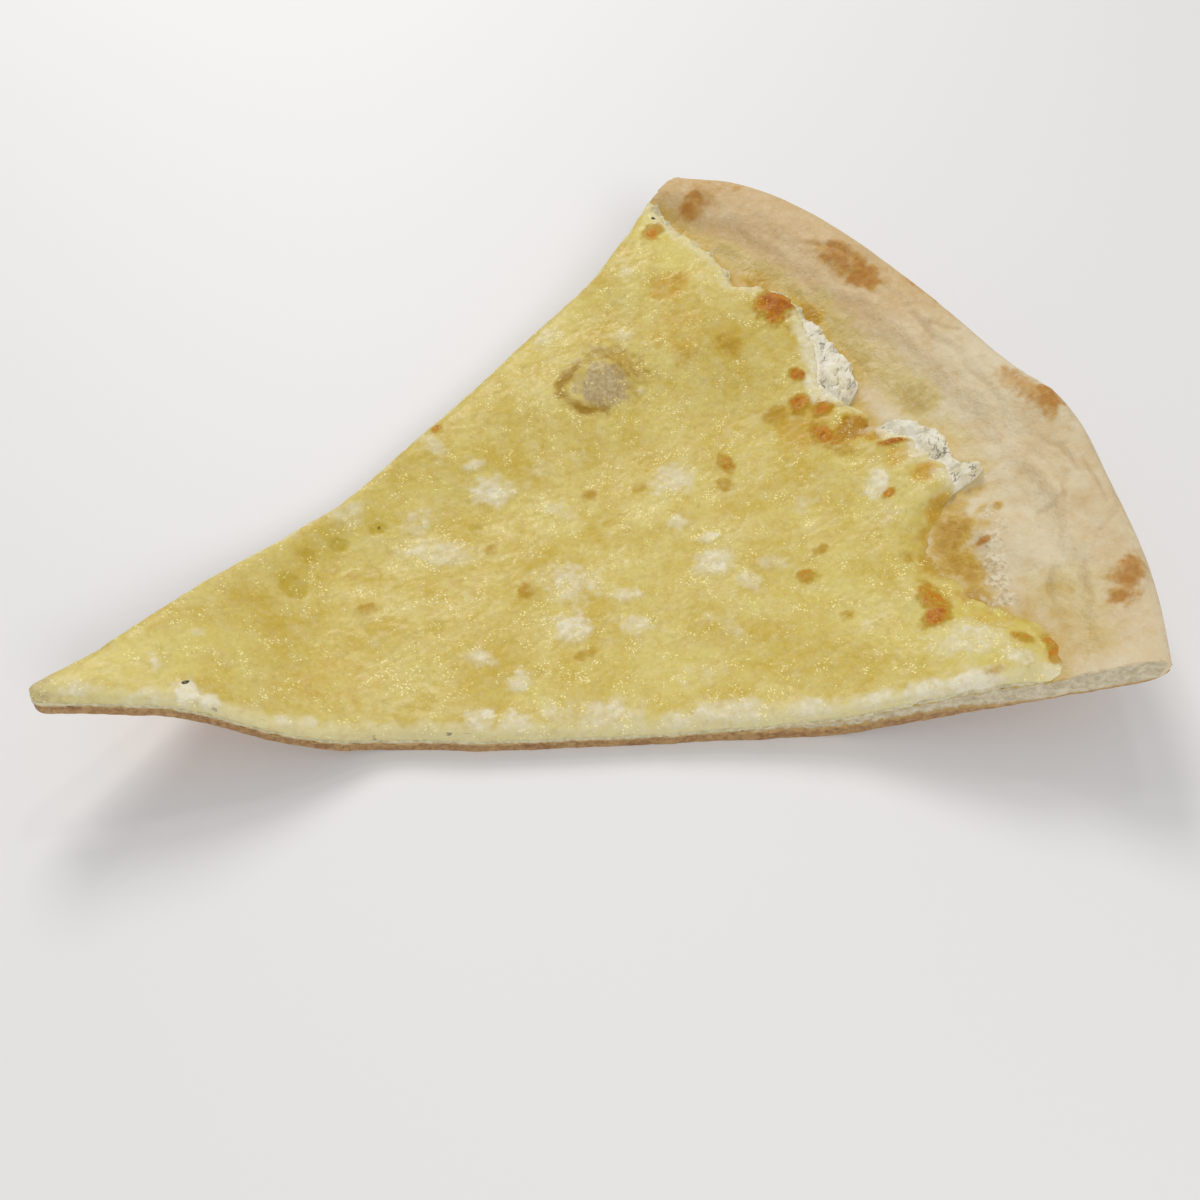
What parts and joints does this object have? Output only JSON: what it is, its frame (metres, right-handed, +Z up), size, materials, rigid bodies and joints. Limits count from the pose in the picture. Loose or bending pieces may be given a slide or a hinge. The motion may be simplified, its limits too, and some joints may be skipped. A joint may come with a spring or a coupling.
{
  "type": "cheese pizza slice",
  "caption": "Sagged wedge of thin-crust white pizza: dough base with a raised rim, a thin ricotta layer and melted cheese on top.",
  "frame": {"origin": "middle of the slice's footprint, at the level of the surface it lies on", "axes": "+X runs along the middle of the slice from its tip to its rim, +Y across it, +Z up"},
  "size_m": [0.2372, 0.1912, 0.0328],
  "materials": {
    "crust": "baked dough, matt and floury, golden brown in places",
    "ricotta": "soft white curd, moist, lightly crumbly",
    "cheese": "melted cheese, oily sheen, finely granular"
  },
  "bodies": {
    "root": {"crust": "crust", "ricotta": "ricotta", "cheese": "cheese"}
  },
  "joints": []
}
